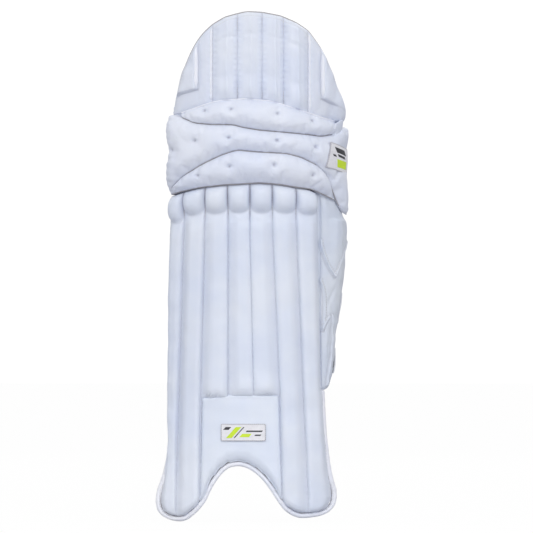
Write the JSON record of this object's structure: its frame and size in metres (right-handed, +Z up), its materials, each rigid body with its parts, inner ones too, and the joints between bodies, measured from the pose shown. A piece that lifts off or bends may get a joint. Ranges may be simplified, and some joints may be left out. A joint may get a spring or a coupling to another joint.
{
  "type": "cricket leg pad",
  "caption": "Cricket batting leg pad for the left leg: cane-backed shin channels, padded knee rolls, fluted top hat, calf wing and wrap-round straps.",
  "frame": {"origin": "centre of the flat face of the shin cushion, where the wearer's shin rests", "axes": "+Z up the leg, -Y towards the ball, +Y towards the leg, +X towards the outside of a left leg"},
  "size_m": [0.2649, 0.1728, 0.6779],
  "materials": {
    "cover": "satin",
    "binding": "satin",
    "lining": "matte",
    "foam": "matte",
    "cane": "matte",
    "board": "matte",
    "badge": "satin",
    "webbing": "matte",
    "hook": "matte",
    "loop": "matte"
  },
  "bodies": {
    "shin": {"shin_cover": "cover", "shin_bolster_1": "foam", "shin_bolster_2": "foam", "shin_bolster_3": "foam", "shin_bolster_4": "foam", "shin_bolster_5": "foam", "shin_bolster_6": "foam", "shin_bolster_7": "foam", "cane_1": "cane", "cane_2": "cane", "cane_3": "cane", "cane_4": "cane", "cane_5": "cane", "cane_6": "cane", "cane_7": "cane", "backing_board": "board", "shin_lining": "lining", "instep_foam": "foam", "instep_panel": "cover", "front_badge": "badge", "bottom_binding": "binding", "shin_cushion": "lining", "left_inner_bolster": "lining", "right_inner_bolster": "lining", "upper_strap_anchor": "webbing", "calf_strap_anchor": "webbing", "ankle_strap_anchor": "webbing"},
    "lower_knee_roll": {"lower_knee_roll_cover": "cover", "lower_knee_roll_foam": "foam", "lower_knee_roll_lining": "lining"},
    "middle_knee_roll": {"middle_knee_roll_cover": "cover", "middle_knee_roll_foam": "foam", "middle_knee_roll_lining": "lining", "side_badge": "badge"},
    "upper_knee_roll": {"upper_knee_roll_cover": "cover", "upper_knee_roll_foam": "foam", "upper_knee_roll_lining": "lining"},
    "top_hat": {"top_hat_cover": "cover", "top_hat_bolster_1": "foam", "top_hat_bolster_2": "foam", "top_hat_bolster_3": "foam", "top_hat_bolster_4": "foam", "top_hat_left_side_pad": "foam", "top_hat_right_side_pad": "foam", "top_hat_board": "board", "top_hat_lining": "lining"},
    "side_wing": {"wing_cover": "cover", "wing_foam": "foam", "wing_lining": "lining", "upper_loop_patch": "loop", "calf_loop_patch": "loop", "ankle_loop_patch": "loop"},
    "upper_strap": {"upper_strap": "webbing", "upper_strap_hook": "hook"},
    "calf_strap": {"calf_strap": "webbing", "calf_strap_hook": "hook"},
    "ankle_strap": {"ankle_strap": "webbing", "ankle_strap_hook": "hook"}
  },
  "joints": [
    {"name": "lower_knee_fold", "type": "hinge", "parent": "shin", "child": "lower_knee_roll", "pos_m": [0, -0.011, 0.151], "axis": [-1, 0, 0], "range_deg": [-3, 8], "stiffness_Nm_per_rad": 3},
    {"name": "middle_knee_fold", "type": "hinge", "parent": "lower_knee_roll", "child": "middle_knee_roll", "pos_m": [0, -0.011, 0.188], "axis": [-1, 0, 0], "range_deg": [-3, 8], "stiffness_Nm_per_rad": 3},
    {"name": "upper_knee_fold", "type": "hinge", "parent": "middle_knee_roll", "child": "upper_knee_roll", "pos_m": [0, -0.011, 0.235], "axis": [-1, 0, 0], "range_deg": [-3, 8], "stiffness_Nm_per_rad": 3},
    {"name": "top_hat_fold", "type": "hinge", "parent": "upper_knee_roll", "child": "top_hat", "pos_m": [0, -0.011, 0.262], "axis": [-1, 0, 0], "range_deg": [-3, 8], "stiffness_Nm_per_rad": 3},
    {"name": "side_wing_fold", "type": "hinge", "parent": "shin", "child": "side_wing", "pos_m": [0.08789, 0.00014, 0.01], "axis": [0, 0, 1], "range_deg": [0, 25], "stiffness_Nm_per_rad": 0.5},
    {"name": "upper_strap_swing", "type": "hinge", "parent": "shin", "child": "upper_strap", "pos_m": [-0.10542, 0.02284, 0.062], "axis": [0, 0, 1], "range_deg": [0, 100], "stiffness_Nm_per_rad": 0.02},
    {"name": "calf_strap_swing", "type": "hinge", "parent": "shin", "child": "calf_strap", "pos_m": [-0.10542, 0.02284, -0.006], "axis": [0, 0, 1], "range_deg": [0, 100], "stiffness_Nm_per_rad": 0.02},
    {"name": "ankle_strap_swing", "type": "hinge", "parent": "shin", "child": "ankle_strap", "pos_m": [-0.10542, 0.02284, -0.076], "axis": [0, 0, 1], "range_deg": [0, 100], "stiffness_Nm_per_rad": 0.02}
  ],
  "couplings": [
    {"joint": "middle_knee_fold", "follows": "lower_knee_fold", "ratio": 1},
    {"joint": "upper_knee_fold", "follows": "lower_knee_fold", "ratio": 1},
    {"joint": "top_hat_fold", "follows": "lower_knee_fold", "ratio": 1}
  ]
}
